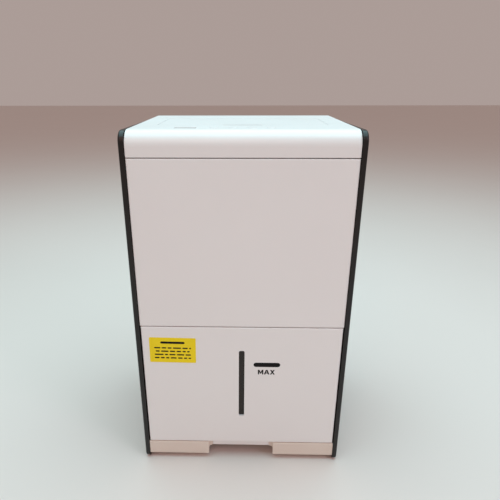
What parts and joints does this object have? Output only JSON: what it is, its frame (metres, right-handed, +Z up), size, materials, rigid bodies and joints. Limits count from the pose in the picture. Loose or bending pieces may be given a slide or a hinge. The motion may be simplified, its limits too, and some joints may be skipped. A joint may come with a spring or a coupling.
{
  "type": "dehumidifier",
  "caption": "Free-standing compressor dehumidifier: white cabinet between dark side panels, pull-out water tank, hinged top outlet flap and rear air filter.",
  "frame": {"origin": "on the floor under the middle of the cabinet", "axes": "+Z up, -Y towards the front with the tank, +X to the right seen from the front"},
  "size_m": [0.3006, 0.244, 0.5064],
  "materials": {
    "white_abs": "glossy moulded",
    "dark_abs": "glossy moulded",
    "grey_abs": "fine texture",
    "black_pp": "satin moulded",
    "clear_tank": "clear moulded",
    "smoked_window": "smoked clear",
    "yellow_label": "printed vinyl",
    "filter_net": "woven nylon",
    "white_foam": "closed-cell foam",
    "magnet": "sintered",
    "black_rubber": "moulded",
    "steel": "turned",
    "zinc_steel": "zinc plated",
    "black_enamel": "gloss enamel",
    "copper": "drawn tube",
    "fin_aluminium": "rolled sheet",
    "aluminium_can": "drawn can",
    "circuit_board": "solder mask"
  },
  "bodies": {
    "cabinet": {"base_pan": "white_abs", "bay_wall": "grey_abs", "capillary_tube": "copper", "compressor": "black_enamel", "compressor_bolts": "zinc_steel", "compressor_core": "steel", "compressor_grommets": "black_rubber", "condenser_fins": "fin_aluminium", "condenser_tube": "copper", "control_board": "circuit_board", "cord_gland": "black_rubber", "discharge_pipe": "copper", "display_lens": "white_abs", "drain_spigot": "grey_abs", "drip_tray": "grey_abs", "electrics_box": "black_pp", "evaporator_fins": "fin_aluminium", "evaporator_tube": "copper", "fan_motor": "steel", "fan_scroll": "grey_abs", "filter_drier": "copper", "front_cover": "white_abs", "grip_cup_left": "dark_abs", "grip_cup_right": "dark_abs", "humidity_sensor": "black_pp", "inlet_ring": "grey_abs", "liquid_pipe": "copper", "motor_bracket": "zinc_steel", "outlet_louvre": "grey_abs", "power_board": "circuit_board", "rear_cover": "white_abs", "rear_screws": "zinc_steel", "rubber_feet": "black_rubber", "run_capacitor": "aluminium_can", "shelf": "grey_abs", "side_panel_left": "dark_abs", "side_panel_right": "dark_abs", "suction_pipe": "copper", "tank_sensor": "black_pp", "terminal_cover": "black_pp", "top_cover": "white_abs"},
    "tank": {"tank_body": "clear_tank", "tank_front": "white_abs", "level_window": "smoked_window", "tank_lid": "clear_tank", "tank_handle": "grey_abs", "notice_label": "yellow_label"},
    "float": {"tank_float": "white_foam", "float_magnet": "magnet"},
    "flap": {"outlet_flap": "white_abs"},
    "fan": {"fan_wheel": "black_pp", "fan_shaft": "steel"},
    "air_filter": {"filter_frame": "white_abs", "filter_mesh": "filter_net"},
    "plug": {"drain_plug": "black_rubber"},
    "button_one": {"button_1": "white_abs"},
    "button_two": {"button_2": "white_abs"},
    "button_three": {"button_3": "white_abs"},
    "button_four": {"button_4": "white_abs"}
  },
  "joints": [
    {"name": "tank_slide", "type": "slide", "parent": "cabinet", "child": "tank", "axis": [0, -1, 0], "range_m": [0, 0.13]},
    {"name": "float_tilt", "type": "hinge", "parent": "tank", "child": "float", "pos_m": [-0.06, -0.03, 0.192], "axis": [-1, 0, 0], "range_deg": [0, 20]},
    {"name": "flap_hinge", "type": "hinge", "parent": "cabinet", "child": "flap", "pos_m": [0, 0.044, 0.50239], "axis": [-1, 0, 0], "range_deg": [0, 75]},
    {"name": "fan_spin", "type": "hinge", "parent": "cabinet", "child": "fan", "pos_m": [0, 0, 0.362], "axis": [0, 1, 0], "continuous": true},
    {"name": "filter_pull", "type": "slide", "parent": "cabinet", "child": "air_filter", "axis": [0, 1, 0], "range_m": [0, 0.04]},
    {"name": "plug_pull", "type": "slide", "parent": "cabinet", "child": "plug", "axis": [0, 1, 0], "range_m": [0, 0.03]},
    {"name": "button_one_press", "type": "slide", "parent": "cabinet", "child": "button_one", "axis": [0, 0, -1], "range_m": [0, 0.0012], "stiffness_N_per_m": 300},
    {"name": "button_two_press", "type": "slide", "parent": "cabinet", "child": "button_two", "axis": [0, 0, -1], "range_m": [0, 0.0012], "stiffness_N_per_m": 300},
    {"name": "button_three_press", "type": "slide", "parent": "cabinet", "child": "button_three", "axis": [0, 0, -1], "range_m": [0, 0.0012], "stiffness_N_per_m": 300},
    {"name": "button_four_press", "type": "slide", "parent": "cabinet", "child": "button_four", "axis": [0, 0, -1], "range_m": [0, 0.0012], "stiffness_N_per_m": 300}
  ]
}
